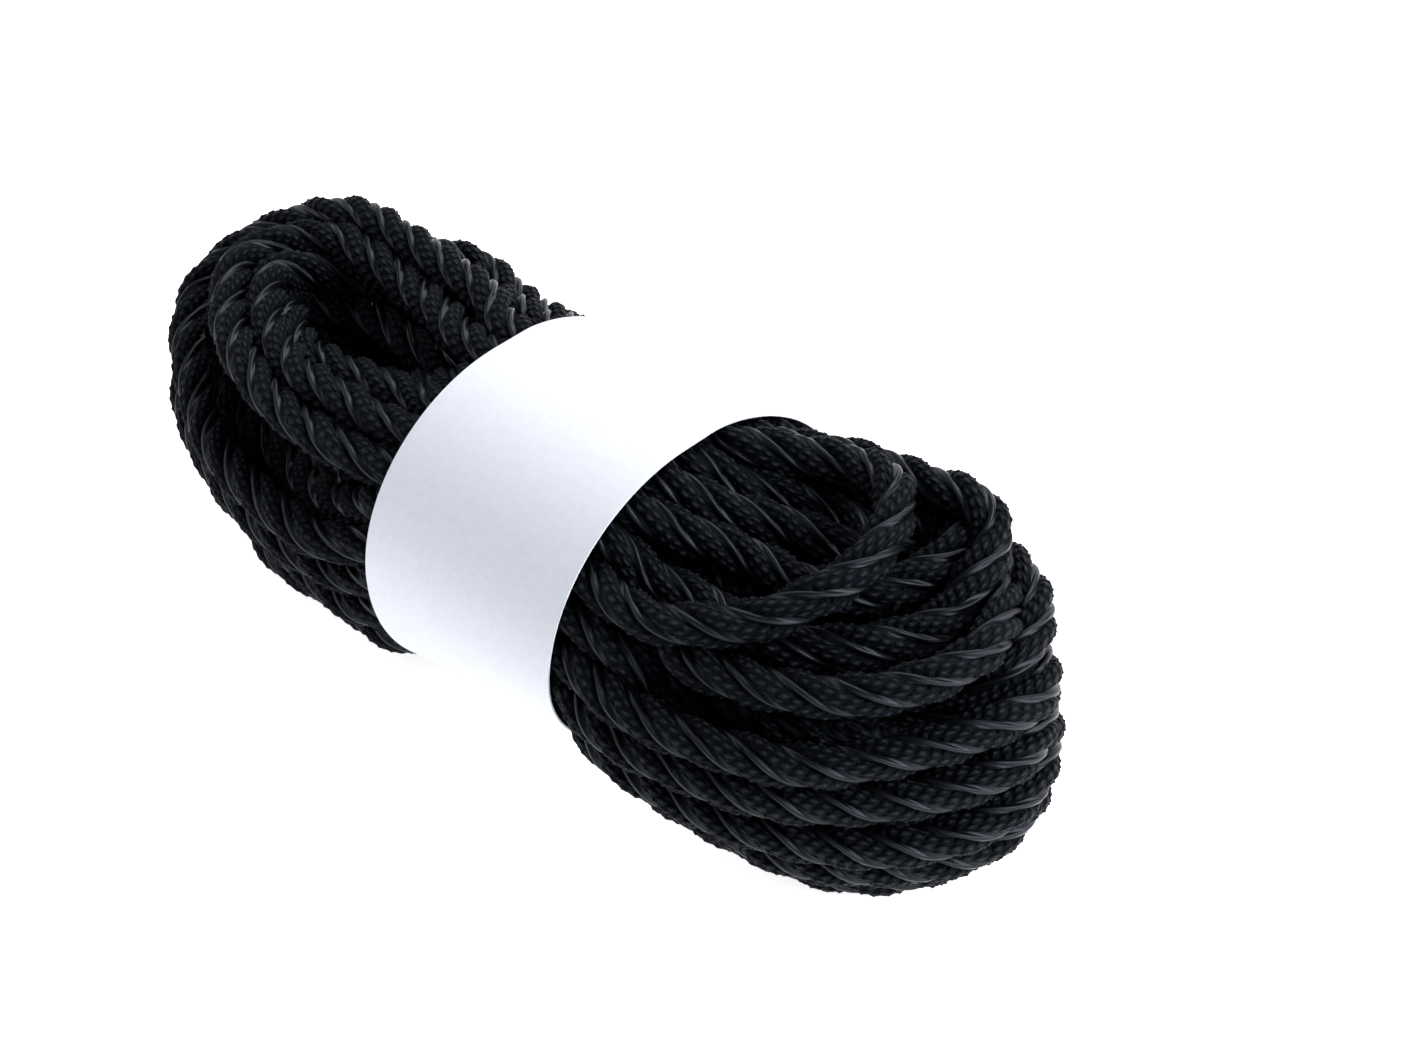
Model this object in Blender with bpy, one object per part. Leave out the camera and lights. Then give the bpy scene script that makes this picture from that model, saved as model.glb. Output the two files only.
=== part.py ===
"""A hank of thick decorative cord, wound as one flat ring and drawn in at the waist by a paper band.

The ring lies flat, its long axis along X. Each turn of cord runs along the near side, round the +X end, back
along the far side and round the -X end. Under the band the two sides press together into one round bundle,
which the band lifts off the floor more at the +X side. At each end they part round an open eye, and the turns
nearest the eye sink into it. On the near side the turns on top lie lower and stand back from those below them; on
the far side they heap up. The outer turns show on the solid as rounded ridges.
Everything is in metres, with +Z up and the origin on the floor under the middle of the hank.
"""

import math

import bmesh
import bpy
from mathutils import Vector

# Cord and hank
CORD = 0.008  # diameter of the cord
HALF_CORD = CORD / 2
HANK_LENGTH = 0.2208  # over both ends
OUTER_RUNS = 13  # runs of cord round the outside of one side, from underneath to on top
EYE_RUNS = 7  # runs up the wall that faces the eye, between the lowest and the highest

# Bundle under the band, to the middles of its outermost cords
WAIST_WIDE = 0.0311
WAIST_SLOPE = {-1: 1.0, 1: 1.3}  # above 1, the upper half of the near or far side slopes in more
WAIST_MIDDLE = 0.0420  # height of its widest place above the floor
WAIST_UP = 0.0283
WAIST_DOWN = {-1: 0.0320, 1: 0.0220}  # at the band's -X and +X edge

# Each end: radius of the eye to the first cord's middle, height of the widest turns, and how much longer than a
# half circle the end is drawn out. Then, on the near side, at the tip and on the far side: how far the cords
# reach out from the eye, how high they heap, how far those nearest the eye sink, how far the upper ones stand
# back, and how round their shoulder is, where 1 is a plain half ellipse and less is a fuller shoulder. The groove
# is the height at which the standing back starts.
ENDS = {
    1: {
        "eye": 0.0096,
        "middle": 0.0395,
        "drawn_out": 0.0240,
        "wide": (0.0212, 0.0209, 0.0250),
        "top": (0.0635, 0.0610, 0.0725),
        "sink": (0.0100, 0.0100, 0.0140),
        "back": (0.0055, 0.0020, 0.0),
        "groove": 0.0455,
        "fullness": (1.0, 0.85, 0.85),
    },
    -1: {
        "eye": 0.0096,
        "middle": 0.0388,
        "drawn_out": 0.0208,
        "wide": (0.0225, 0.0209, 0.0230),
        "top": (0.0640, 0.0670, 0.0690),
        "sink": (0.0100, 0.0090, 0.0090),
        "back": (0.0040, 0.0010, 0.0),
        "groove": 0.0504,
        "fullness": (0.9, 0.60, 0.85),
    },
}
BOTTOM = 0.0033  # height of the lowest turns' middles before they are set on the floor
SINK_REACH = 0.28  # share of the width that the sinking reaches
GROOVE_SOFT = 0.0064  # height over which the upper turns start to stand back
GROOVE_LIFT = 0.0024
FLAT = 0.0004  # how much of the lowest cords is pressed flat on the floor

# Paper band
BAND_WIDTH = 0.048
BAND_MIDDLE = 0.0056  # its middle along X
PAPER = 0.001
GAP = 0.0003  # between paper and cord, and half of it between the two sides of the waist

# Fineness
LEG_STEPS = 6
END_STEPS = 16
RIDGE_ANGLES = (-50, 0, 50)
FLOOR_ANGLES = (-54, -18, 18, 54)
FLOOR_RUNS = 3  # lowest outer runs, which rest on the floor
BAND_STEPS = 24


def clear_scene():
    for found in list(bpy.data.objects):
        bpy.data.objects.remove(found, do_unlink=True)


def material(name, colour, roughness):
    made = bpy.data.materials.new(name)
    made.use_nodes = True
    shader = made.node_tree.nodes["Principled BSDF"]
    shader.inputs["Base Color"].default_value = (*colour, 1.0)
    shader.inputs["Roughness"].default_value = roughness
    shader.inputs["Metallic"].default_value = 0.0
    return made


def smooth(share):
    share = min(max(share, 0.0), 1.0)
    return share * share * (3 - 2 * share)


def even_angles(count, across, up):
    """Angles from straight down to straight up that part a half ellipse into equal lengths."""
    steps = 720
    angles = [math.pi * (k / steps - 0.5) for k in range(steps + 1)]
    walked = [0.0]
    for before, after in zip(angles, angles[1:]):
        side = across * (math.cos(after) - math.cos(before))
        rise = up * (math.sin(after) - math.sin(before))
        walked.append(walked[-1] + math.hypot(side, rise))
    chosen = []
    for k in range(count):
        wanted = walked[-1] * k / (count - 1)
        chosen.append(min(angles, key=lambda angle: abs(walked[angles.index(angle)] - wanted)))
    return chosen


def outline_runs():
    """The runs round one side of the ring as (across, up): 0 to 1 out from the eye, -1 to 1 upwards.

    They go up the outside and come down the wall that faces the eye.
    """
    typical = ENDS[1]
    outside = [
        (max(math.cos(angle), 0.0), math.sin(angle))
        for angle in even_angles(OUTER_RUNS, typical["wide"][1], typical["middle"] - BOTTOM)
    ]
    wall = [(0.0, 1 - 2 * k / (EYE_RUNS + 1)) for k in range(1, EYE_RUNS + 1)]
    return outside + wall


def waist_tall(up, side):
    """How far the waist reaches up or down from its widest place, at the band's edge on this side."""
    return WAIST_UP if up > 0 else WAIST_DOWN[side]


def waist_place(across, up, side, bank):
    """(distance from the centre plane, height) of a run under the band."""
    if up > 0:
        across **= WAIST_SLOPE[bank]
    return HALF_CORD + across * WAIST_WIDE, WAIST_MIDDLE + up * waist_tall(up, side)


def between(values, bank):
    """A size that has one value on the near side (bank -1), one at the tip (0) and one on the far side (1)."""
    near, tip, far = values
    return tip + (far - tip) * max(bank, 0.0) + (near - tip) * max(-bank, 0.0)


def end_place(across, up, end, bank):
    """(distance from the eye's middle, height) of a run at an end."""
    spread = across ** between(end["fullness"], bank) if up > 0 else across
    radius = end["eye"] + spread * between(end["wide"], bank)
    limit = between(end["top"], bank) if up > 0 else BOTTOM
    height = end["middle"] + abs(up) * (limit - end["middle"])
    height -= between(end["sink"], bank) * math.exp(-((across / SINK_REACH) ** 2)) * smooth(up)
    above = smooth((height - end["groove"]) / GROOVE_SOFT)
    radius -= above * between(end["back"], bank) * across
    height += above * GROOVE_LIFT
    return radius, max(height, HALF_CORD)


def outer_radius(end):
    return end["eye"] + end["wide"][1]


def turning_point(end):
    """X, without its sign, at which the straight sides end and the turn round the end starts."""
    return HANK_LENGTH / 2 - HALF_CORD - outer_radius(end) - end["drawn_out"]


def run_point(across, up, side, bank, leg=None, angle=None):
    """One point of a run: on a straight leg (0 at the band's edge, 1 at the turning point) or round the end."""
    end = ENDS[side]
    start = turning_point(end)
    if angle is not None:
        radius, height = end_place(across, up, end, math.sin(angle))
        outermost = end["eye"] + between(end["wide"], math.sin(angle))
        reach = radius * (outer_radius(end) + end["drawn_out"]) / outermost
        return Vector((side * (start + reach * math.cos(angle)), radius * math.sin(angle), height))
    radius, height = end_place(across, up, end, bank)
    waist_radius, waist_height = waist_place(across, up, side, bank)
    band_edge = BAND_WIDTH / 2 + side * BAND_MIDDLE
    spread = smooth(leg)
    return Vector(
        (
            side * (band_edge + (start - band_edge) * leg),
            bank * (waist_radius + (radius - waist_radius) * spread),
            waist_height + (height - waist_height) * spread,
        )
    )


def stations():
    """Every section round the ring, once round, as keyword arguments of run_point."""
    found = []
    for side in (1, -1):
        legs = [k / LEG_STEPS for k in range(LEG_STEPS + 1)]
        turns = [math.pi * (k / END_STEPS - 0.5) for k in range(1, END_STEPS)]
        found += [{"side": side, "bank": -side, "leg": leg} for leg in legs]
        found += [{"side": side, "bank": 0, "angle": side * angle} for angle in turns]
        found += [{"side": side, "bank": side, "leg": leg} for leg in reversed(legs)]
    return found


def kept_apart(point, bank):
    """Presses the lowest cords flat on the floor, and keeps the two sides of the waist from touching."""
    point.z = max(point.z - FLAT, 0.0)
    if bank:
        point.y = bank * max(bank * point.y, GAP / 2)
    return point


def ridge(runs, run, before, here, after):
    """Points over the outer half of one run, from its middle at three sections that follow each other."""
    along = (after[run] - before[run]).normalized()
    sideways = here[(run + 1) % len(runs)] - here[run - 1]
    sideways = (sideways - along * sideways.dot(along)).normalized()
    outward = along.cross(sideways)
    angles = FLOOR_ANGLES if run < FLOOR_RUNS else RIDGE_ANGLES
    return [
        here[run] + HALF_CORD * (outward * math.cos(turn) + sideways * math.sin(turn))
        for turn in map(math.radians, angles)
    ]


def add_object(name, mesh, surface):
    bmesh.ops.recalc_face_normals(mesh, faces=mesh.faces[:])
    data = bpy.data.meshes.new(name)
    mesh.to_mesh(data)
    mesh.free()
    data.materials.append(surface)
    data.shade_smooth()
    data.set_sharp_from_angle(angle=math.radians(60))
    made = bpy.data.objects.new(name, data)
    bpy.context.scene.collection.objects.link(made)
    return made


def joined_rings(mesh, sections, closed):
    """Faces between each section and the next, and from the last to the first on a closed ring."""
    rows = [[mesh.verts.new(point) for point in section] for section in sections]
    following = rows[1:] + rows[:1] if closed else rows[1:]
    for row, after in zip(rows, following):
        for k in range(len(row)):
            mesh.faces.new((row[k - 1], row[k], after[k], after[k - 1]))
    return rows


def build_hank(surface):
    runs = outline_runs()
    places = stations()
    middles = [[run_point(across, up, **place) for across, up in runs] for place in places]
    sections = []
    for k, place in enumerate(places):
        before, here, after = middles[k - 1], middles[k], middles[(k + 1) % len(places)]
        section = []
        for run in range(len(runs)):
            section += ridge(runs, run, before, here, after)
        sections.append([kept_apart(point, place["bank"]) for point in section])
    mesh = bmesh.new()
    joined_rings(mesh, sections, closed=True)
    return add_object("hank", mesh, surface)


def band_outline(offset, side):
    """The taut line round one edge of the band, this far outside the middles of the waist's outermost cords."""
    edge = BAND_MIDDLE + side * BAND_WIDTH / 2
    line = []
    for bank in (1, -1):
        half = []
        for k in range(BAND_STEPS + 1):
            angle = math.pi * (k / BAND_STEPS - 0.5)
            below, here, above = (
                Vector(waist_place(max(math.cos(turn), 0.0), math.sin(turn), side, bank))
                for turn in (angle - 0.01, angle, angle + 0.01)
            )
            along = (above - below).normalized()
            distance, height = here.x + along.y * offset, here.y - along.x * offset - FLAT
            half.append(Vector((edge, bank * distance, height)))
        line += half if bank == 1 else half[::-1]
    return line


def build_band(surface):
    inner = HALF_CORD + GAP
    outer = HALF_CORD + GAP + PAPER
    sections = [band_outline(offset, side) for offset, side in ((inner, -1), (inner, 1), (outer, 1), (outer, -1))]
    mesh = bmesh.new()
    joined_rings(mesh, sections, closed=True)
    return add_object("paper_band", mesh, surface)


clear_scene()
build_hank(material("black_cord", (0.010, 0.011, 0.014), 0.85))
build_band(material("white_paper", (0.80, 0.82, 0.86), 0.75))
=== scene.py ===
"""The looks of a hank of black decorative cord, drawn in at the waist by a paper band.

The cord is one length, wound round and round. Each row of TURNS is one turn: where it lies under the band,
and where it lies at each end. The turns are then pushed apart, so that they press into each other no more than
soft cord would, a few tight places and the hidden turns excepted. The cord is swept along the smooth line
through them, with its plies and satin strands twisting all the way.
Lengths are in millimetres until they reach a mesh, which is in metres.
"""

import math

import bpy
import numpy as np
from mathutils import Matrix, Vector
from mathutils.kdtree import KDTree


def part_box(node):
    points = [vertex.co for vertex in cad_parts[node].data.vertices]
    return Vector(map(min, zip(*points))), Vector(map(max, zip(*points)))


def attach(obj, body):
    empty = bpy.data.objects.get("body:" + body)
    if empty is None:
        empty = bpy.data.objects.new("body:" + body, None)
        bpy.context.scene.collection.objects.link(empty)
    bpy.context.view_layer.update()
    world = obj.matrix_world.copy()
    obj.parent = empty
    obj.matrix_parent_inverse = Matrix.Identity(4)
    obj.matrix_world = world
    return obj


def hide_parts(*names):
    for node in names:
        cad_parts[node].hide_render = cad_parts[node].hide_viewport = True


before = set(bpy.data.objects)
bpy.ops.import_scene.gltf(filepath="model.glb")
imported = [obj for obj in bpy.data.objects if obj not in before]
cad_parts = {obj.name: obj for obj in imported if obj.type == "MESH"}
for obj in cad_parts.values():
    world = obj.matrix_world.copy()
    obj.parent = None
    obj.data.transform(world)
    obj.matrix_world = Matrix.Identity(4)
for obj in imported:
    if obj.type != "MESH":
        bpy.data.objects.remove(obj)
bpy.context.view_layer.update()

MM = 0.001

# Camera, fitted to the hank's outline in the photograph
PHOTO_WIDTH = 1410
AZIMUTH = 42.3
ELEVATION = 38.0
DISTANCE = 598.0
AIM = (13.2, 19.8, 36.0)
FOCAL_PIXELS = 3075.0
SENSOR = 36.0

# Cord, as the maker lays it: three knotty plies and three satin strands in the grooves between them
CORD = 8.0
LAY = 31.0  # length of cord in which the twist goes round once
PLIES = 3
PLY_SHARE = 0.70  # of the way round, the rest is satin
PLY_ROUND = (2.1, 2.05)  # a ply's middle from the cord's middle, and its radius
STRAND_ROUND = (2.7, 0.92)  # the same for a satin strand, which lies a little lower
GROOVE_RADIUS = 2.2  # where a ply and a strand meet
PLY_CROWN = 0.36 * CORD  # from the cord's middle to where a ply's length is measured
PLY_LENGTH = math.hypot(1.0, 2 * math.pi * PLY_CROWN / LAY)  # for each length of cord

# Knots of a ply, in rows that lean with the ply's own twist
KNOT_PITCH = 1.9  # from one row to the next, along a ply
KNOT_LEAN = 0.67  # how far a row leans along the cord for each millimetre across it
KNOT_WIDE = 1.9  # from knot to knot in a row; each row is shifted by half of it
KNOT_RISE = 0.48
KNOT_LEVEL = 0.45  # share of the rise that lies below the ply's plain radius
ROW_POWER = 0.7  # below 1, the rows are broad and the furrows between them narrow
KNOT_SWING = 0.4  # how much the height changes from knot to knot in a row
WANDER = (0.35, 9.7)  # how far the rows stray along the cord, and over what length
WANDER_ACROSS = (0.25, 3.1, 0.9)  # the same for a smaller stray, and how much it shifts across a ply
SWELLS = ((0.05, 5.3, 0.0), (0.04, 2.3, 1.7))  # how much the cord thickens, over what length, and its start

# The band, and the hank's waist under it
band_low, band_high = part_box("paper_band")
BAND_FROM = band_low.x / MM
BAND_TO = band_high.x / MM
PAPER = 0.3
BAND_EASE = 0.5  # from the outermost cords to the paper
LAP = 9.0  # how far the band's end lies over its beginning
LAP_PLACE = 0.875  # where the beginning is, as a share of the way round from underneath
LAP_STEP = 3.0  # length over which the end steps up onto the beginning
LAP_GAP = 0.1
BAND_COLUMNS = 260
BAND_ROWS = 24
OUTLINE_STEPS = 90  # round each side of the waist
WAIST_WIDE = 31.1
WAIST_MIDDLE = 42.0
WAIST_UP = 28.3
WAIST_SLOPE = 1.3  # above 1, the upper half of the far side slopes in more
WAIST_DOWN = {1: 22.0, -1: 32.0}  # the band draws the right side in more from below
SIDE_GAP = CORD / 2
SLOTS_ROUND = 12.19  # cords that lie round one curved side of the waist
HALF_SLOT = 0.5  # from the middle of the waist's top to the middle of the first cord beside it
LAYER = 8.0
CORE_RADIUS = 31.0
INSET = 3.0  # how far inside the band's edges a turn has its points

# Turns that hide inside: for the innermost one, and how much more the outermost one has
HIDDEN_RADIUS = (8.0, 21.0)  # of the bend round an end, across
HIDDEN_REACH = (17.0, 34.0)  # of the bend, along X
HIDDEN_START = 50.0  # where the bend starts along X
HIDDEN_LEAD = 8.0  # the first and last points lie this far before the bend
HIDDEN_MIDDLE = 36.0
HIDDEN_TALL = 30.0
HIDDEN_SINK = 8.0  # how far the upper turns nearest the eye sink
HIDDEN_STEPS = 6
VALLEY_FLOOR = 31.0  # they stay below this under the valley on the left end's near side

# How the turns are kept apart
STATION = 3.3  # distance between the places at which that is done
SPAN_STEPS = 12  # fineness of the curve from which those places are measured off
CLOSE = 0.955  # how near the middles of two turns that show should lie, in cord diameters
SQUEEZED = 0.84  # the same inside the hank, where the turns are pressed together
OWN_RUN = 5  # stations nearer along the cord than this belong to one run and may be close
LOOK_AROUND = CORD + 3.0
ROUNDS = 14
ROUND_STEPS = 8
GIVE = {True: 0.12, False: 1.0}  # how readily a turn moves off another, when it shows and when it hides
HOLD = {True: 0.07, False: 0.004}  # how much of its shift it gives back in each step
PUSH = 1.2  # more than needed, because each step smooths some of it away
HIT = 0.5  # weight of each touch when several push one place
CALM = 0.5  # how much of the unevenness of the shifts is smoothed in each step
BAND_GUARD = 2.0  # how far outside the band's edges the places still keep their x

# Fineness of the cord's meshes
PER_SPAN = 14
FINE_STEP = 0.5
COARSE_STEP = 3.0  # for turns that hide inside or under the band
UNSEEN = 5.0  # how far inside the band's edges the cord is out of sight
FINE_FACES = (9, 4)  # faces round a ply and round a strand
COARSE_FACES = (3, 2)
FINE_GROUP = 2  # turns in one piece
COARSE_GROUP = 9

# Surfaces
FIBRE = 0.4  # size of the tufts that the knot yarn's fibres form
FIBRE_SHARE = 0.35  # their height, as a share of the knots'
PLY_EDGE = 2.7  # from here outwards, across a ply, it lies deep in the grooves and its colour is painted almost black, as painted shade
PLY_LIT = 1.6  # from here inwards it has its full colour, without the painted groove shade
THREAD = 0.3  # from turn to turn of a strand's thread: really about 0.2, but this much shows in the render
WAVE = 0.314  # length of one wave of the wave texture at scale 1
PULP = 1.4  # size of the paper's mottle


def hidden(name, slot, layer):
    """The row of a turn that hides inside, with the same place on both sides."""
    return name, (-slot, layer), None, (slot, layer), None


# Places under the band are counted in cords round the waist from the middle of its top, near side negative,
# with the layer below the outermost one. Ends are lists of points that a run passes, from one edge of the
# band to the other: the right end from near to far, the left end from far to near. None means that the end
# is hidden.
TURNS = (
    hidden("core_1", 7.0, 3),
    hidden("core_2", 11.0, 3),
    hidden("core_3", 2.5, 3),
    hidden("deep_1", 12.3, 2),
    hidden("deep_2", 10.6, 2),
    hidden("deep_3", 8.6, 2),
    hidden("deep_4", 6.6, 2),
    hidden("deep_5", 4.6, 2),
    hidden("deep_6", 2.6, 2),
    (
        "eye_floor", (-3.0, 1),
        None,
        (1.6, 1),
        ((-36, 12, 57), (-56, 13, 51), (-70, 9, 46), (-74, 1, 44), (-66, -3, 46), (-54, -3, 49),
         (-42, -4, 54), (-32, -6, 60)),
    ),
    (
        "top_1", (-1, 0),
        ((37, -2, 66), (46, 4, 63), (55, 8, 61), (62, 14, 59), (64, 22, 58), (57, 26, 56), (45, 23, 55)),
        (3.0, 1),
        ((-30, 14, 56), (-48, 12, 53), (-65, 11, 51), (-78, 9, 52), (-85, 3, 54), (-78, -5, 56),
         (-66, -12, 57), (-53, -14, 59), (-41, -14, 61), (-29, -14, 63)),
    ),
    (
        "top_2", (-2, 0),
        ((36, -11, 64), (46, -6, 61), (57, -3, 59), (68, 2, 60), (73, 10, 61), (75, 18, 62), (71, 25, 62),
         (63, 28, 60), (51, 28, 56)),
        (4.2, 1),
        ((-40, 17, 54), (-58, 17, 55), (-74, 13, 57), (-83, 6, 59), (-85, -1, 60), (-81, -8, 61),
         (-73, -15, 61), (-62, -21, 61), (-52, -24, 62), (-41, -24, 63), (-30, -24, 63)),
    ),
    (
        "top_3", (-3, 0),
        ((36, -20, 59), (46, -17, 57), (57, -16, 55), (67, -13, 56), (75, -7, 57), (80, 1, 57), (83, 9, 58),
         (83, 17, 60), (78, 23, 62), (69, 26, 63), (58, 25, 63), (46, 23, 64)),
        (2, 0),
        ((-32, 19, 64), (-48, 22, 60), (-66, 22, 54), (-82, 15, 46), (-87, 3, 38), (-79, -6, 33),
         (-65, -11, 31), (-45, -17, 35)),
    ),
    (
        "rim", (-4.5, 1),
        ((43, -24, 52), (52, -27, 53), (62, -26, 54), (72, -23, 55), (82, -17, 56), (90, -7, 58), (93, 4, 60),
         (88, 15, 60), (79, 22, 61), (65, 26, 61), (48, 26, 60)),
        (3, 0),
        ((-40, 25, 59), (-60, 26, 59), (-79, 23, 57), (-90, 13, 55), (-95, 1, 53), (-92, -12, 42),
         (-77, -19, 37), (-58, -23, 36), (-40, -27, 40)),
    ),
    (
        "valley", (-5, 0),
        ((40, -32, 49), (52, -23, 40), (66, -14, 36), (80, -6, 38), (91, 3, 44), (95, 13, 52), (87, 23, 56),
         (69, 30, 56), (50, 29, 54)),
        (4, 0),
        ((-40, 29, 53), (-62, 32, 51), (-84, 27, 47), (-99, 14, 42), (-105, 0, 39), (-101, -13, 36),
         (-88, -23, 35), (-66, -32, 34), (-44, -36, 33), (-30, -35, 33)),
    ),
    (
        "side_2", (-7, 0),
        ((42, -37, 36), (58, -35, 36), (72, -31, 36), (85, -22, 36), (97, -9, 38), (102, 4, 40), (98, 15, 41),
         (88, 24, 42), (70, 32, 42), (48, 34, 42)),
        (6, 0),
        ((-40, 36, 40), (-62, 35, 34), (-82, 27, 28), (-96, 12, 22), (-97, -4, 18), (-87, -16, 16),
         (-69, -21, 16), (-49, -24, 16), (-32, -26, 17)),
    ),
    (
        "side_4", (-9, 0),
        ((42, -31, 25), (58, -28, 21), (74, -25, 19), (89, -15, 19), (99, -3, 21), (101, 8, 25), (96, 18, 27),
         (83, 27, 28), (62, 32, 28)),
        (8, 0),
        ((-42, 31, 24), (-64, 29, 17), (-82, 20, 11), (-92, 5, 7), (-87, -7, 5), (-71, -15, 5), (-52, -17, 6),
         (-34, -19, 9)),
    ),
    (
        "under_1", (-11, 0),
        ((42, -20, 18), (58, -17, 8), (74, -12, 6), (86, -2, 7), (89, 8, 8), (80, 18, 10), (65, 24, 12),
         (48, 24, 18)),
        (10, 0),
        ((-44, 21, 11), (-62, 17, 6), (-78, 8, 4), (-80, -1, 4), (-68, -5, 4), (-48, -4, 5)),
    ),
    (
        "lowest", (-13, 0),
        ((42, -3, 15), (56, -2, 6), (68, 0, 4), (72, 5, 4), (66, 10, 4), (50, 9, 9)),
        (12, 0),
        ((-42, 8, 7), (-56, 8, 4), (-68, 4, 4), (-66, -3, 8), (-50, -6, 12)),
    ),
    hidden("inner_1", 12.0, 1),
    hidden("inner_2", 10.9, 1),
    hidden("inner_3", 9.6, 1),
    hidden("inner_4", 8.3, 1),
    hidden("inner_5", 7.0, 1),
    hidden("inner_6", 5.7, 1),
    (
        "pit", (-1.5, 1),
        ((45, -8, 54), (58, -9, 47), (68, -3, 44), (72, 8, 44), (66, 18, 48), (57, 20, 54), (50, 16, 60),
         (43, 10, 64), (35, 4, 67)),
        (0, 0),
        ((-31, 1, 68), (-44, 6, 66), (-57, 10, 64), (-69, 12, 64), (-80, 13, 63), (-89, 9, 62), (-92, 2, 62),
         (-91, -6, 62), (-83, -14, 61), (-72, -22, 61), (-59, -27, 60), (-47, -30, 59), (-36, -31, 59),
         (-25, -30, 59)),
    ),
    (
        "crossing", (-4, 0),
        ((44, -29, 59), (53, -25, 60), (61, -19, 62), (67, -11, 66), (70, -2, 69), (68, 8, 71), (62, 16, 72),
         (54, 18, 71), (47, 17, 70), (40, 15, 69)),
        (1, 0),
        ((-28, 8, 69), (-38, 13, 69), (-52, 16, 68), (-70, 18, 67), (-85, 18, 65), (-96, 14, 61),
         (-103, 4, 56), (-104, -6, 51), (-97, -16, 47), (-84, -25, 44), (-69, -33, 42), (-50, -37, 41),
         (-34, -38, 41)),
    ),
    (
        "side_1", (-6, 0),
        ((40, -36, 44), (52, -36, 44), (65, -33, 44), (78, -27, 44), (90, -15, 46), (98, 0, 48), (98, 12, 49),
         (90, 21, 49), (74, 29, 49), (50, 31, 49)),
        (5, 0),
        ((-40, 36, 49), (-64, 37, 42), (-86, 28, 35), (-101, 13, 29), (-104, -2, 26), (-96, -14, 25),
         (-80, -24, 25), (-59, -29, 25), (-40, -32, 24), (-28, -32, 24)),
    ),
    (
        "side_3", (-8, 0),
        ((42, -35, 30), (56, -33, 27), (72, -29, 26), (88, -20, 26), (99, -8, 28), (103, 4, 31), (99, 15, 34),
         (89, 25, 35), (70, 32, 35), (48, 34, 35)),
        (7, 0),
        ((-42, 34, 32), (-64, 33, 25), (-83, 24, 18), (-94, 9, 13), (-94, -5, 11), (-81, -14, 9),
         (-62, -19, 10), (-44, -21, 10), (-30, -24, 13)),
    ),
    (
        "side_5", (-10, 0),
        ((42, -28, 21), (58, -24, 15), (74, -20, 14), (87, -10, 14), (95, 1, 15), (96, 12, 17), (88, 22, 19),
         (72, 29, 20), (50, 30, 22)),
        (9, 0),
        ((-44, 26, 17), (-64, 23, 11), (-80, 13, 6), (-86, 1, 4), (-77, -8, 4), (-60, -10, 4), (-40, -11, 5)),
    ),
    (
        "under_2", (-12, 0),
        ((42, -11, 16), (58, -9, 6), (74, -6, 4), (82, 2, 4), (78, 12, 4), (64, 17, 6), (48, 16, 14)),
        (11, 0),
        ((-44, 14, 8), (-60, 12, 4), (-72, 6, 4), (-74, -3, 6), (-62, -12, 11), (-44, -16, 14)),
    ),
    hidden("inner_7", 11.2, 1.4),
    hidden("inner_8", 6.3, 1.5),
)


def smooth(share):
    share = np.clip(share, 0.0, 1.0)
    return share * share * (3 - 2 * share)


def waist_height(x):
    """How far the waist reaches down from its middle at x."""
    share = np.clip((x - BAND_FROM) / (BAND_TO - BAND_FROM), 0, 1)
    return WAIST_DOWN[-1] + (WAIST_DOWN[1] - WAIST_DOWN[-1]) * share


def waist_out(turn, bank):
    """How far out the waist's outline lies at this angle above its widest place, as a share."""
    share = np.maximum(np.cos(turn), 0.0)
    return share ** WAIST_SLOPE if bank > 0 and turn > 0 else share


def slot_angle(slot):
    """The angle above the waist's widest place at which a slot lies."""
    return math.pi / 2 - np.clip((abs(slot) - HALF_SLOT) / SLOTS_ROUND, 0.0, 1.0) * math.pi


def waist_place(slot, layer, x):
    """x, y and z of a run under the band."""
    shrink = (CORE_RADIUS - layer * LAYER) / CORE_RADIUS
    bank = math.copysign(1, slot)
    turn = slot_angle(slot)
    flat = min(abs(slot) * CORD, SIDE_GAP)
    tall = WAIST_UP if turn > 0 else waist_height(x)
    y = bank * (flat + waist_out(turn, bank) * WAIST_WIDE * shrink)
    return x, y, WAIST_MIDDLE + math.sin(turn) * tall * shrink


def hidden_end(slot, layer, side):
    """Points round one end for a turn inside the hank, from near to far."""
    shrink = (CORE_RADIUS - layer * LAYER) / CORE_RADIUS
    turn = slot_angle(slot)
    out = max(math.cos(turn), 0.0) * shrink
    up = math.sin(turn)
    radius = HIDDEN_RADIUS[0] + HIDDEN_RADIUS[1] * out
    reach = HIDDEN_REACH[0] + HIDDEN_REACH[1] * out
    height = HIDDEN_MIDDLE + HIDDEN_TALL * up * shrink - HIDDEN_SINK * (1 - out) * max(up, 0.0)
    near = min(height, VALLEY_FLOOR) if side < 0 else height
    lead = side * (HIDDEN_START - HIDDEN_LEAD)
    points = [(lead, -radius, near)]
    for k in range(HIDDEN_STEPS + 1):
        angle = math.pi * (k / HIDDEN_STEPS - 0.5)
        x = side * (HIDDEN_START + reach * math.cos(angle))
        points.append((x, radius * math.sin(angle), near if k < HIDDEN_STEPS / 2 else height))
    return points + [(lead, radius, height)]


def distances(line):
    """The distance walked from the first point of a line to each of its points."""
    return np.concatenate([[0.0], np.cumsum(np.linalg.norm(np.diff(line, axis=0), axis=1))])


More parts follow.
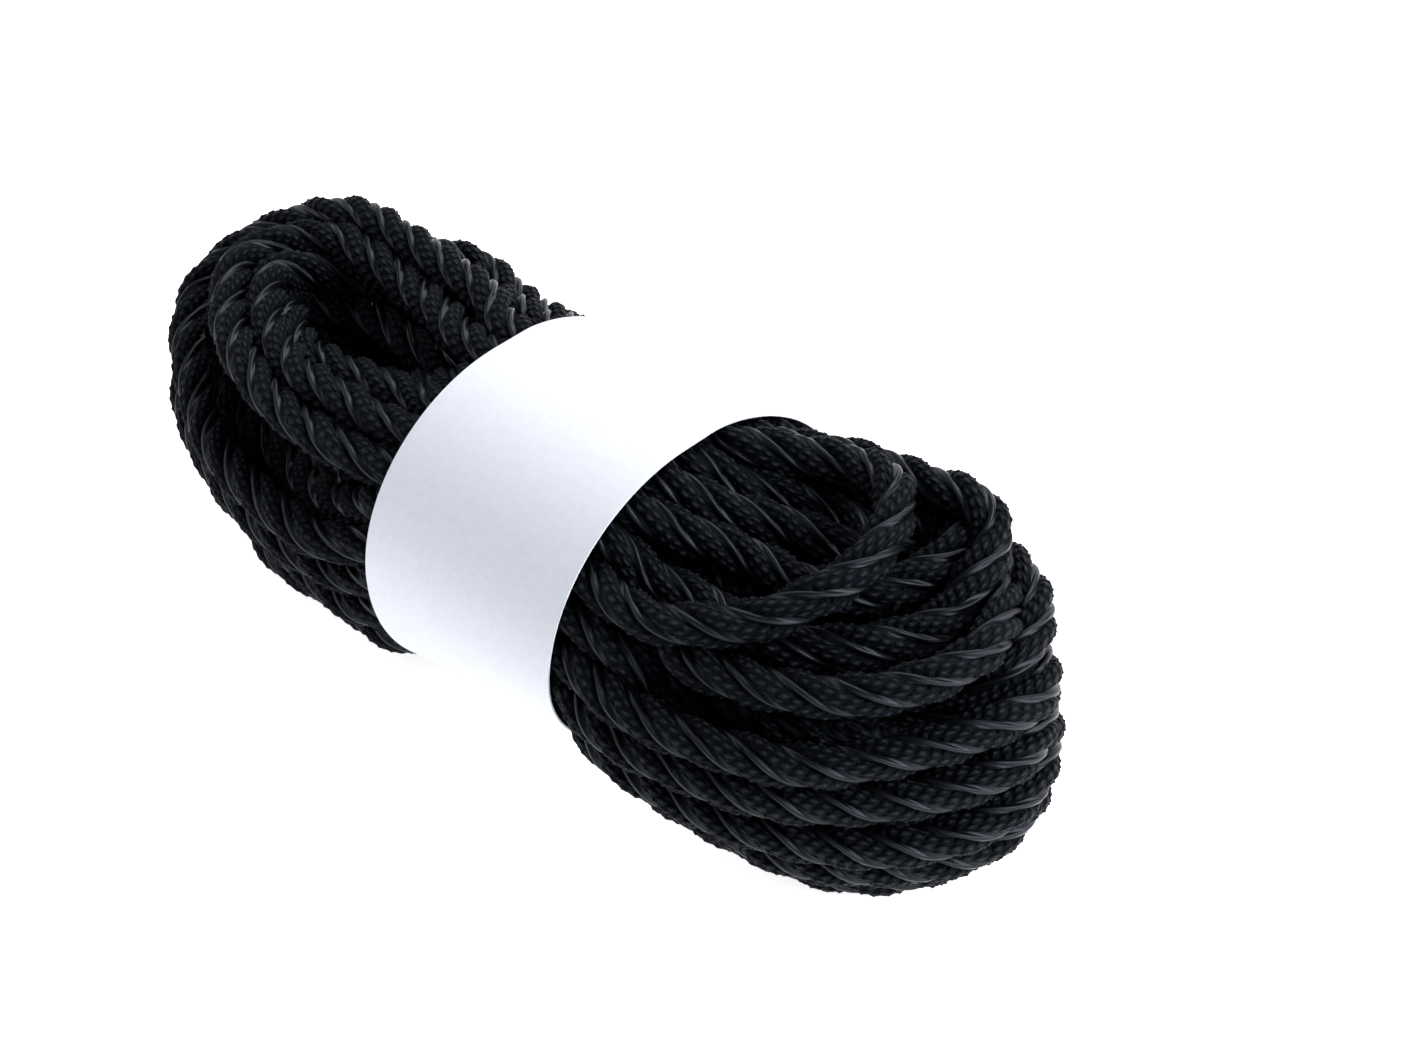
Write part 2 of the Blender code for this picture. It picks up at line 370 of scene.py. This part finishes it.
def curve_through(points, spacing):
    """Points this far apart on a smooth curve through the given ones, and where on it each given one is."""
    points = np.array(points, float)
    before, after = points[0] * 2 - points[1], points[-1] * 2 - points[-2]
    padded = np.concatenate([[before], points, [after]])
    knots = np.concatenate([[0.0], np.cumsum(np.sqrt(np.linalg.norm(np.diff(padded, axis=0), axis=1)))])
    fine = []
    for k in range(1, len(padded) - 2):
        p = padded[k - 1 : k + 3]
        s = knots[k - 1 : k + 3]
        t = np.linspace(s[1], s[2], SPAN_STEPS, endpoint=False)[:, None]
        a = [((s[j + 1] - t) * p[j] + (t - s[j]) * p[j + 1]) / (s[j + 1] - s[j]) for j in range(3)]
        b = [((s[j + 2] - t) * a[j] + (t - s[j]) * a[j + 1]) / (s[j + 2] - s[j]) for j in range(2)]
        fine.append(((s[2] - t) * b[0] + (t - s[1]) * b[1]) / (s[2] - s[1]))
    fine = np.concatenate(fine + [points[-1:]])
    walked = distances(fine)
    count = int(round(walked[-1] / spacing))
    at = np.linspace(0, walked[-1], count + 1)
    line = np.stack([np.interp(at, walked, fine[:, k]) for k in range(3)], 1)
    return line, np.rint(walked[::SPAN_STEPS] / walked[-1] * count).astype(int)


def wound_line():
    """The whole cord as one line of stations, and the turn that each station belongs to."""
    start_x, end_x = BAND_FROM + INSET, BAND_TO - INSET
    points = []
    starts = []
    for _, near, right, far, left in TURNS:
        starts.append(len(points))
        points += [waist_place(*near, start_x), waist_place(*near, end_x)]
        points += right or hidden_end(*far, 1)
        points += [waist_place(*far, end_x), waist_place(*far, start_x)]
        points += left or hidden_end(*far, -1)[::-1]
    points.append(waist_place(*TURNS[-1][1], start_x))
    line, places = curve_through(points, STATION)
    owner = np.zeros(len(line), int)
    for k, start in enumerate(starts):
        owner[places[start] :] = k
    return line, owner


def pairs_near(place, reach):
    """Pairs of stations of different runs that are closer than this."""
    tree = KDTree(len(place))
    for k, point in enumerate(place):
        tree.insert(point, k)
    tree.balance()
    found = []
    for k, point in enumerate(place):
        found += [(k, other) for _, other, _ in tree.find_range(point, reach) if other - k > OWN_RUN]
    return np.array(found).T


def pushes(place, one, two, kept, give):
    """How each station should move next, to bring the pairs of stations nearer to this far apart."""
    apart = place[one] - place[two]
    far = np.linalg.norm(apart, axis=1)
    short = np.clip(kept - far, 0, None)
    push = apart / far[:, None] * short[:, None]
    share = (give[one] / (give[one] + give[two]))[:, None]
    move = np.zeros_like(place)
    hits = np.full(len(place), 1.0)
    np.add.at(move, one, push * share)
    np.add.at(move, two, -push * (1 - share))
    np.add.at(hits, one, (short > 0) * HIT)
    np.add.at(hits, two, (short > 0) * HIT)
    return move / hits[:, None] * PUSH


def kept_in_waist(place, under, down):
    """Brings the stations that lie under the band back inside the waist's outline, in place."""
    across = np.abs(place[:, 1]) - SIDE_GAP
    side = np.clip(across, 0, None) / WAIST_WIDE
    up = place[:, 2] - WAIST_MIDDLE
    tall = np.where(up > 0, WAIST_UP, down)
    slope = np.where((place[:, 1] > 0) & (up > 0), WAIST_SLOPE, 1.0)
    over = np.maximum(np.hypot(side ** (1 / slope), up / tall), 1.0)
    y = np.sign(place[:, 1]) * (np.minimum(across, 0) + SIDE_GAP + side * WAIST_WIDE / over ** slope)
    place[:, 1] = np.where(under & (over > 1), y, place[:, 1])
    place[:, 2] = np.where(under & (over > 1), WAIST_MIDDLE + up / over, place[:, 2])


def pushed_apart(target, firm):
    """Moves the runs off each other a little at a time, and keeps them in the waist and above the floor.

    They are also drawn back to where their rows have them, so some stay closer than they should.
    """
    place = target.copy()
    under = (target[:, 0] > BAND_FROM - BAND_GUARD) & (target[:, 0] < BAND_TO + BAND_GUARD)
    down = waist_height(target[:, 0])
    give = np.where(firm, GIVE[True], GIVE[False])
    hold = np.where(firm, HOLD[True], HOLD[False])[:, None]
    for _ in range(ROUNDS):
        one, two = pairs_near(place, LOOK_AROUND)
        kept = np.where(firm[one] & firm[two], CLOSE, SQUEEZED) * CORD
        for _ in range(ROUND_STEPS):
            place += pushes(place, one, two, kept, give)
            shift = place - target
            calm = np.concatenate([shift[:1], (shift[:-2] + shift[2:]) / 2, shift[-1:]])
            shift += (calm - shift) * CALM
            place = target + shift * (1 - hold)
            place[:, 2] = np.maximum(place[:, 2], CORD / 2)
            place[:, 0] = np.where(under, target[:, 0], place[:, 0])
            kept_in_waist(place, under, down)
    return place


def through(points, per_span):
    """Points on a smooth curve through evenly spaced ones, per_span of them from each to the next."""
    before = np.concatenate([points[:1], points[:-1]])
    after = np.concatenate([points[1:], points[-1:]])
    later = np.concatenate([points[2:], points[-1:], points[-1:]])
    out = []
    for k in range(per_span):
        t = k / per_span
        out.append(
            0.5 * (2 * points + (after - before) * t
                   + (2 * before - 5 * points + 4 * after - later) * t * t
                   + (3 * points - before - 3 * after + later) * t ** 3)
        )
    return np.stack(out, 1).reshape(-1, 3)[: (len(points) - 1) * per_span + 1]


def cord_frames(centre):
    """Two directions across the cord at every point, which turn no more than the line bends."""
    along = np.gradient(centre, axis=0)
    along /= np.linalg.norm(along, axis=1)[:, None]
    first = np.zeros_like(along)
    side = np.cross(along[0], (0.0, 0.0, 1.0))
    for k in range(len(along)):
        side = side - along[k] * side.dot(along[k])
        side /= math.sqrt(side.dot(side))
        first[k] = side
    return first, np.cross(along, first)


def cord_section(ply_faces, strand_faces):
    """The points round the cord as angles and radii, and the face that starts at each of them.

    A face has its lobe, 0 for a ply and 1 for a strand, and where it starts and ends across that lobe.
    """
    sector = 2 * math.pi / PLIES
    ply = sector * PLY_SHARE
    angles, radii, columns = [], [], []
    for k in range(PLIES):
        for lobe, start, wide, faces, (out, radius) in (
            (0, k * sector, ply, ply_faces, PLY_ROUND),
            (1, k * sector + ply, sector - ply, strand_faces, STRAND_ROUND),
        ):
            for j in range(faces):
                turn = (j / faces - 0.5) * wide
                angles.append(start + j / faces * wide)
                round_ = out * math.cos(turn) + math.sqrt(max(radius ** 2 - (out * math.sin(turn)) ** 2, 0.0))
                radii.append(GROOVE_RADIUS if j == 0 else round_)
                columns.append((lobe, turn * (out + radius), (turn + wide / faces) * (out + radius)))
    return np.array(angles), np.array(radii), np.array(columns).T


def knot_height(across, along):
    """Height of the knots on a ply, 0 to 1; the material knotted_cotton_viscose_ply has the same."""
    lean = 2 * math.pi / KNOT_PITCH * (along + KNOT_LEAN * across)
    row = 0.5 + 0.5 * np.cos(lean)
    knot = 1 - KNOT_SWING + KNOT_SWING * np.cos(2 * math.pi / KNOT_WIDE * across + lean / 2)
    return row ** ROW_POWER * knot


def face_uv(left, right, v):
    """Millimetres across and along a lobe, for the four corners of every face."""
    shape = (len(v) - 1, len(left))
    left, right = np.broadcast_to(left, shape), np.broadcast_to(right, shape)
    v_right = np.roll(v, -1, axis=1)
    corners = ((left, v[:-1]), (right, v_right[:-1]), (right, v_right[1:]), (left, v[1:]))
    return np.stack([np.stack(corner, -1) for corner in corners], 2).reshape(-1, 2)


def tube(name, points, slots, uv, materials):
    """A mesh through rings of points, capped at each end, with a material slot for each face column."""
    rings, round_ = points.shape[:2]
    index = np.arange(rings * round_).reshape(rings, round_)
    right = np.roll(index, -1, axis=1)
    quads = np.stack([index[:-1], right[:-1], right[1:], index[1:]], -1).reshape(-1, 4)
    loops = np.concatenate([quads.ravel(), index[0][::-1], index[-1]])
    starts = np.concatenate([np.arange(len(quads)) * 4, [len(quads) * 4, len(quads) * 4 + round_]])
    mesh = bpy.data.meshes.new(name)
    mesh.vertices.add(rings * round_)
    mesh.vertices.foreach_set("co", points.ravel())
    mesh.loops.add(len(loops))
    mesh.loops.foreach_set("vertex_index", loops)
    mesh.polygons.add(len(starts))
    mesh.polygons.foreach_set("loop_start", starts)
    mesh.update(calc_edges=True)
    for surface in materials:
        mesh.materials.append(surface)
    face_slots = np.concatenate([np.tile(slots, rings - 1), [0, 0]])
    mesh.polygons.foreach_set("material_index", face_slots.astype(np.int32))
    layer = mesh.uv_layers.new(name="millimetres")
    layer.data.foreach_set("uv", np.concatenate([uv, np.zeros((2 * round_, 2))]).ravel())
    mesh.shade_smooth()
    made = bpy.data.objects.new(name, mesh)
    bpy.context.scene.collection.objects.link(made)
    return made


def swept_cord(name, centre, first, second, turned, walked, materials, fine):
    """A closed mesh of the cord along part of its line."""
    angles, radii, (lobe, left, right) = cord_section(*(FINE_FACES if fine else COARSE_FACES))
    walked = walked[:, None]
    stray, length, shift = WANDER_ACROSS
    wander = WANDER[0] * np.sin(walked / WANDER[1]) + stray * np.sin(walked / length + left * shift)
    along = walked * PLY_LENGTH + wander
    reach = radii + sum(swell * np.sin(walked / length + start) for swell, length, start in SWELLS)
    if fine:
        on_ply = (lobe == 0) & (radii > GROOVE_RADIUS)
        reach = reach + KNOT_RISE * (knot_height(left, along) - KNOT_LEVEL) * on_ply
    turn = angles + turned[:, None]
    points = (
        centre[:, None]
        + first[:, None] * (reach * np.cos(turn))[..., None]
        + second[:, None] * (reach * np.sin(turn))[..., None]
    ) * MM
    points[..., 2] = np.maximum(points[..., 2], 0.0)
    return tube(name, points, lobe, face_uv(left, right, along), materials)


def node(tree, kind, links=None, **settings):
    """Adds one node, with its settings and its inputs: a value, or (node, output) to link."""
    made = tree.nodes.new(kind)
    for name, value in settings.items():
        setattr(made, name, value)
    for name, value in (links or {}).items():
        if isinstance(value, tuple) and isinstance(value[0], bpy.types.Node):
            tree.links.new(value[0].outputs[value[1]], made.inputs[name])
        else:
            made.inputs[name].default_value = value
    return made


def maths(tree, operation, *values):
    """One step of arithmetic on numbers or on (node, output) pairs, as such a pair."""
    return node(tree, "ShaderNodeMath", dict(enumerate(values)), operation=operation), 0


def colour(code):
    """An sRGB hex code as linear red, green, blue and alpha."""
    parts = [int(code[k : k + 2], 16) / 255 for k in (0, 2, 4)]
    return tuple(c / 12.92 if c <= 0.04045 else ((c + 0.055) / 1.055) ** 2.4 for c in parts) + (1.0,)


def blend(tree, share, low, high):
    """Goes from one colour to another with a share, as a (node, output) pair."""
    return node(tree, "ShaderNodeMix", {0: share, 6: colour(low), 7: colour(high)}, data_type="RGBA"), 2


def bumped(tree, height, strength, distance):
    """A normal from a height, with the distance in millimetres, as a (node, output) pair."""
    settings = {"Height": height, "Strength": strength, "Distance": distance * MM}
    return node(tree, "ShaderNodeBump", settings), 0


def material(name, build):
    """A material of one Principled shader, whose inputs build(tree) gives after adding its own nodes."""
    made = bpy.data.materials.new(name)
    made.use_nodes = True
    tree = made.node_tree
    tree.nodes.clear()
    shader = node(tree, "ShaderNodeBsdfPrincipled", build(tree))
    node(tree, "ShaderNodeOutputMaterial", {"Surface": (shader, 0)})
    return made


def knotty_ply(tree):
    """Cotton and viscose knot yarn: matt, deep black, with a painted highlight on each knot's top and painted
    shade between the knots and in the grooves beside the ply.
    """
    uv = node(tree, "ShaderNodeUVMap", uv_map="millimetres")
    split = node(tree, "ShaderNodeSeparateXYZ", {"Vector": (uv, "UV")})
    across, along = (split, "X"), (split, "Y")
    lean = maths(tree, "MULTIPLY_ADD", across, KNOT_LEAN, along)
    lean = maths(tree, "MULTIPLY", lean, 2 * math.pi / KNOT_PITCH)
    # Never quite 0, because the power of 0 may fail
    row = maths(tree, "MULTIPLY_ADD", maths(tree, "COSINE", lean), 0.499, 0.501)
    knot = maths(tree, "MULTIPLY_ADD", lean, 0.5, maths(tree, "MULTIPLY", across, 2 * math.pi / KNOT_WIDE))
    knot = maths(tree, "MULTIPLY_ADD", maths(tree, "COSINE", knot), KNOT_SWING, 1 - KNOT_SWING)
    knot = maths(tree, "MULTIPLY", maths(tree, "POWER", row, ROW_POWER), knot)
    place = node(tree, "ShaderNodeTexCoord")
    fibre = node(
        tree,
        "ShaderNodeTexNoise",
        {"Vector": (place, "Object"), "Scale": 1 / (FIBRE * MM), "Detail": 3.0, "Roughness": 0.6},
    )
    height = maths(tree, "MULTIPLY_ADD", (fibre, 0), FIBRE_SHARE, knot)
    # Painted highlight and shade: the base colour is lighter the higher a knot stands and darker between the
    # knots
    knot_top_highlight = node(tree, "ShaderNodeMapRange", {"Value": height, "From Min": 0.5, "From Max": 1.1})
    aside = maths(tree, "ABSOLUTE", across)
    # Painted shade: the base colour goes to almost black towards the ply's edges, where it lies in the grooves
    groove_shade_mask = node(tree, "ShaderNodeMapRange", {"Value": aside, "From Min": PLY_EDGE, "From Max": PLY_LIT})
    return {
        "Base Color": blend(tree, maths(tree, "MULTIPLY", (knot_top_highlight, 0), (groove_shade_mask, 0)), "010203", "25272d"),
        "Roughness": 0.6,
        "Normal": bumped(tree, height, 1.0, 0.65),
        "Sheen Weight": 0.02,
        "Sheen Roughness": 0.4,
        "Sheen Tint": colour("b4c4e0"),
        "Specular IOR Level": 0.1,
        "Specular Tint": colour("c8d6f0"),
    }


def satin_strand(tree):
    """Viscose gimp: a strand wound over with shiny thread. It shines in a line, with fine turns across."""
    uv = node(tree, "ShaderNodeUVMap", uv_map="millimetres")
    turns = node(
        tree,
        "ShaderNodeTexWave",
        {"Vector": (uv, "UV"), "Scale": WAVE / THREAD, "Distortion": 0.8, "Detail": 1.0, "Detail Scale": 2.0},
        bands_direction="Y",
    )
    return {
        "Base Color": blend(tree, (turns, 1), "020304", "090a0d"),
        "Roughness": 0.31,
        "Normal": bumped(tree, (turns, 1), 0.5, 0.06),
        "Specular IOR Level": 0.34,
        "Specular Tint": colour("d8e2f4"),
    }


def uncoated_paper(tree):
    """Uncoated white paper: matt, very slightly cool, with a faint pulp mottle."""
    place = node(tree, "ShaderNodeTexCoord")
    pulp = node(
        tree, "ShaderNodeTexNoise", {"Vector": (place, "Object"), "Scale": 1 / (PULP * MM), "Detail": 4.0}
    )
    return {
        "Base Color": blend(tree, (pulp, 0), "dcdfe7", "eaecf2"),
        "Roughness": 0.6,
        "Normal": bumped(tree, (pulp, 0), 0.15, 0.05),
        "Specular IOR Level": 0.3,
    }


def white_floor(_tree):
    """A white backdrop sheet, bright enough to come out white."""
    return {
        "Base Color": colour("f4f4f4"),
        "Roughness": 0.9,
        "Emission Color": (1.0, 1.0, 1.0, 1.0),
        "Emission Strength": 0.85,
    }


def samples_along(curve, owner, walked):
    """Where on the curve the cord has its rings: close together where it shows, else far apart."""
    wanted = np.where(shown[owner], FINE_STEP, COARSE_STEP)
    unseen = (curve[:, 0] > BAND_FROM + UNSEEN) & (curve[:, 0] < BAND_TO - UNSEEN)
    wanted = np.where(unseen, COARSE_STEP, wanted)
    density = np.concatenate([[0.0], np.cumsum(np.diff(walked) / wanted[1:])])
    return np.interp(np.arange(0, density[-1], 1.0), density, np.arange(len(curve)))


def groups():
    """The first turn of each piece of cord, and the first one after it."""
    start = 0
    while start < len(TURNS):
        end = start + 1
        most = FINE_GROUP if shown[start] else COARSE_GROUP
        while end < len(TURNS) and shown[end] == shown[start] and end < start + most:
            end += 1
        yield start, end
        start = end


shown = np.array([bool(right or left) for _, _, right, _, left in TURNS])
stations, owner = wound_line()
curve = through(pushed_apart(stations, shown[owner]), PER_SPAN)
curve_owner = np.repeat(owner, PER_SPAN)[: len(curve)]
walked = distances(curve)
print(f"cord length {walked[-1] / 1000:.2f} m in {len(TURNS)} turns")

samples = samples_along(curve, curve_owner, walked)
centre = np.stack([np.interp(samples, np.arange(len(curve)), curve[:, k]) for k in range(3)], 1)
centre_walked = np.interp(samples, np.arange(len(curve)), walked)
centre_owner = curve_owner[np.minimum(samples.astype(int), len(curve_owner) - 1)]
first, second = cord_frames(centre)
turned = 2 * math.pi * centre_walked / LAY

cord_surfaces = [
    material("knotted_cotton_viscose_ply", knotty_ply),
    material("satin_viscose_gimp", satin_strand),
]
for start, end in groups():
    inside = np.flatnonzero((centre_owner >= start) & (centre_owner < end))
    rows = slice(inside[0], min(inside[-1] + 2, len(centre)))
    piece = swept_cord(
        f"cord_turns_{start + 1:02d}", centre[rows], first[rows], second[rows], turned[rows],
        centre_walked[rows], cord_surfaces, fine=shown[start],
    )
    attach(piece, "root")
    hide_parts("hank")


def waist_outline(x):
    """Y and z once round the outermost cords under the band at x, closed, from underneath up the far side."""
    outline = []
    for bank in (1, -1):
        half = []
        for k in range(OUTLINE_STEPS + 1):
            turn = math.pi * (k / OUTLINE_STEPS - 0.5)
            tall = WAIST_UP if turn > 0 else waist_height(x)
            y = bank * (SIDE_GAP + waist_out(turn, bank) * WAIST_WIDE)
            half.append(Vector((y, WAIST_MIDDLE + math.sin(turn) * tall)))
        outline += half if bank == 1 else half[::-1]
    moved = []
    for k, here in enumerate(outline):
        along = (outline[(k + 1) % len(outline)] - outline[k - 1]).normalized()
        moved.append(here + Vector((along.y, -along.x)) * (CORD / 2 + BAND_EASE))
    return np.array([tuple(point) for point in moved + moved[:1]])


def band_line(x):
    """Points round the band at x, evenly spaced, from its lap joint low on the near side once round past it.

    The strip's end lies over its beginning, so the line steps out by a paper's thickness there.
    """
    around = waist_outline(x)
    walked = distances(around)
    at = np.linspace(0, walked[-1] + LAP, BAND_COLUMNS) + walked[-1] * LAP_PLACE
    line = np.stack([np.interp(at % walked[-1], walked, around[:, k]) for k in (0, 1)], 1)
    out = line - np.array((0.0, WAIST_MIDDLE))
    out /= np.linalg.norm(out, axis=1)[:, None]
    over = smooth((at - at[0] - walked[-1] + LAP_STEP) / LAP_STEP) * (PAPER + LAP_GAP)
    return line + out * over[:, None]


bpy.ops.object.select_all(action="DESELECT")
edges = [band_line(x) for x in (BAND_FROM, BAND_TO)]
bpy.ops.mesh.primitive_grid_add(x_subdivisions=BAND_COLUMNS - 1, y_subdivisions=BAND_ROWS, size=1.0)
band = bpy.context.object
band.name = "paper_sleeve"
for vertex in band.data.vertices:
    k = int(round((vertex.co.x + 0.5) * (BAND_COLUMNS - 1)))
    share = vertex.co.y + 0.5
    y, z = edges[0][k] + (edges[1][k] - edges[0][k]) * share
    vertex.co = Vector((BAND_FROM + (BAND_TO - BAND_FROM) * share, y, z)) * MM
thick = band.modifiers.new("paper", "SOLIDIFY")
thick.thickness = PAPER * MM
thick.offset = 1.0
bpy.ops.object.modifier_apply(modifier="paper")
band.data.materials.append(material("uncoated_white_paper", uncoated_paper))
bpy.ops.object.shade_smooth_by_angle(angle=math.radians(40))
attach(band, "root")
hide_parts("paper_band")

bpy.ops.mesh.primitive_plane_add(size=6.0)
floor = bpy.context.object
floor.name = "floor"
floor.data.materials.append(material("white_floor", white_floor))

world = bpy.data.worlds.new("studio")
world.use_nodes = True
background = world.node_tree.nodes["Background"]
background.inputs["Color"].default_value = (0.74, 0.83, 1.0, 1.0)
background.inputs["Strength"].default_value = 0.21
bpy.context.scene.world = world


def softbox(name, place, size, power):
    """A square area light that faces the hank."""
    light = bpy.data.lights.new(name, "AREA")
    light.energy = power
    light.size = size
    lamp = bpy.data.objects.new(name, light)
    lamp.location = place
    aim = Vector((0, 0, 0.04)) - lamp.location
    lamp.rotation_euler = aim.to_track_quat("-Z", "Y").to_euler()
    bpy.context.scene.collection.objects.link(lamp)


softbox("softbox_back", (-0.2, 0.6, 0.8), 0.7, 8)
softbox("softbox_left", (-0.8, -0.4, 0.5), 0.5, 3)
softbox("softbox_right", (0.8, 0.2, 0.5), 0.5, 11)

lens = bpy.data.cameras.new("camera")
camera = bpy.data.objects.new("camera", lens)
bpy.context.scene.collection.objects.link(camera)
azimuth, elevation = math.radians(AZIMUTH), math.radians(ELEVATION)
level = math.cos(elevation)
forward = Vector((-math.sin(azimuth) * level, math.cos(azimuth) * level, -math.sin(elevation)))
camera.location = (Vector(AIM) - forward * DISTANCE) * MM
camera.rotation_euler = forward.to_track_quat("-Z", "Y").to_euler()
lens.sensor_width = SENSOR
lens.lens = SENSOR * FOCAL_PIXELS / PHOTO_WIDTH
lens.clip_start = 0.01
bpy.context.scene.camera = camera
bpy.context.scene.view_settings.view_transform = "Standard"
